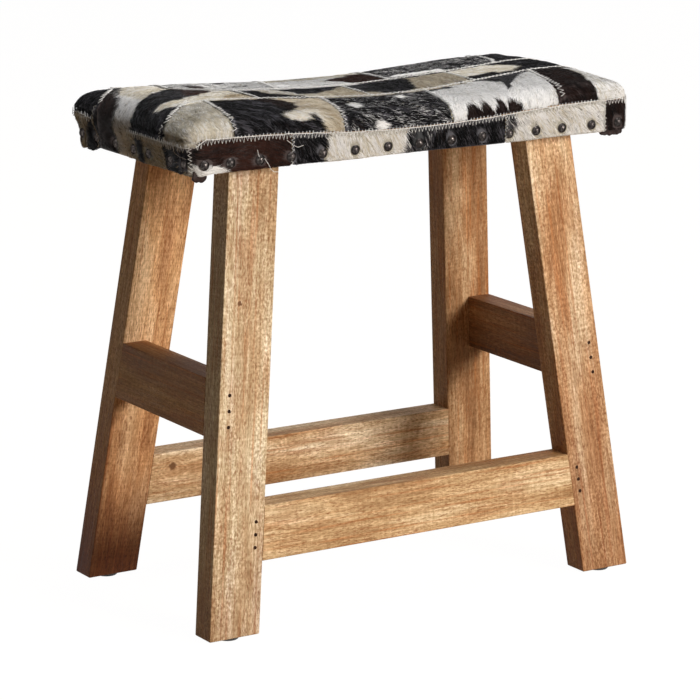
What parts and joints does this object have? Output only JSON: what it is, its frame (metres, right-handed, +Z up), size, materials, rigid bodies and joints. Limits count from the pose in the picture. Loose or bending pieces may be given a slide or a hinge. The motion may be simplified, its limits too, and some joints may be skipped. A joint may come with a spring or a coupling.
{
  "type": "saddle stool",
  "caption": "Low saddle-seat stool: splayed wooden legs, stretchers at two heights and a padded, dipped seat in patchwork hair-on cowhide edged with domed nails.",
  "frame": {"origin": "on the floor under the middle of the seat", "axes": "+X along the seat to its right end, +Y to the back, +Z up"},
  "size_m": [0.5092, 0.2682, 0.5012],
  "materials": {
    "mango_wood": "waxed, satin",
    "cowhide_cream": "hair-on",
    "cowhide_black": "hair-on",
    "cowhide_brown": "hair-on",
    "cowhide_roan": "hair-on",
    "foam": "open-cell foam",
    "blackened_steel": "blackened",
    "zinc_steel": "zinc plated",
    "glide": "moulded"
  },
  "bodies": {
    "root": {"back_stretcher": "mango_wood", "back_stretcher_nails": "blackened_steel", "front_stretcher": "mango_wood", "front_stretcher_nails": "blackened_steel", "glide_back_left": "glide", "glide_back_right": "glide", "glide_front_left": "glide", "glide_front_right": "glide", "glide_nails": "zinc_steel", "hide_back_border_1": "cowhide_black", "hide_back_border_2": "cowhide_cream", "hide_back_border_3": "cowhide_brown", "hide_back_border_4": "cowhide_black", "hide_back_row_1": "cowhide_black", "hide_back_row_2": "cowhide_cream", "hide_back_row_3": "cowhide_brown", "hide_back_row_4": "cowhide_roan", "hide_back_row_5": "cowhide_black", "hide_front_border_1": "cowhide_brown", "hide_front_border_2": "cowhide_black", "hide_front_border_3": "cowhide_cream", "hide_front_border_4": "cowhide_brown", "hide_front_row_1": "cowhide_cream", "hide_front_row_2": "cowhide_black", "hide_front_row_3": "cowhide_roan", "hide_front_row_4": "cowhide_cream", "hide_front_row_5": "cowhide_brown", "hide_left_border_1": "cowhide_black", "hide_left_border_2": "cowhide_roan", "hide_left_border_3": "cowhide_cream", "hide_middle_row_1": "cowhide_brown", "hide_middle_row_2": "cowhide_cream", "hide_middle_row_3": "cowhide_cream", "hide_middle_row_4": "cowhide_black", "hide_right_border_1": "cowhide_brown", "hide_right_border_2": "cowhide_cream", "hide_right_border_3": "cowhide_black", "left_stretcher": "mango_wood", "left_stretcher_nails": "blackened_steel", "leg_back_left": "mango_wood", "leg_back_right": "mango_wood", "leg_front_left": "mango_wood", "leg_front_right": "mango_wood", "leg_screws": "zinc_steel", "right_stretcher": "mango_wood", "right_stretcher_nails": "blackened_steel", "seat_board": "mango_wood", "seat_foam": "foam", "upholstery_nails_back": "blackened_steel", "upholstery_nails_front": "blackened_steel", "upholstery_nails_left": "blackened_steel", "upholstery_nails_right": "blackened_steel"}
  },
  "joints": []
}
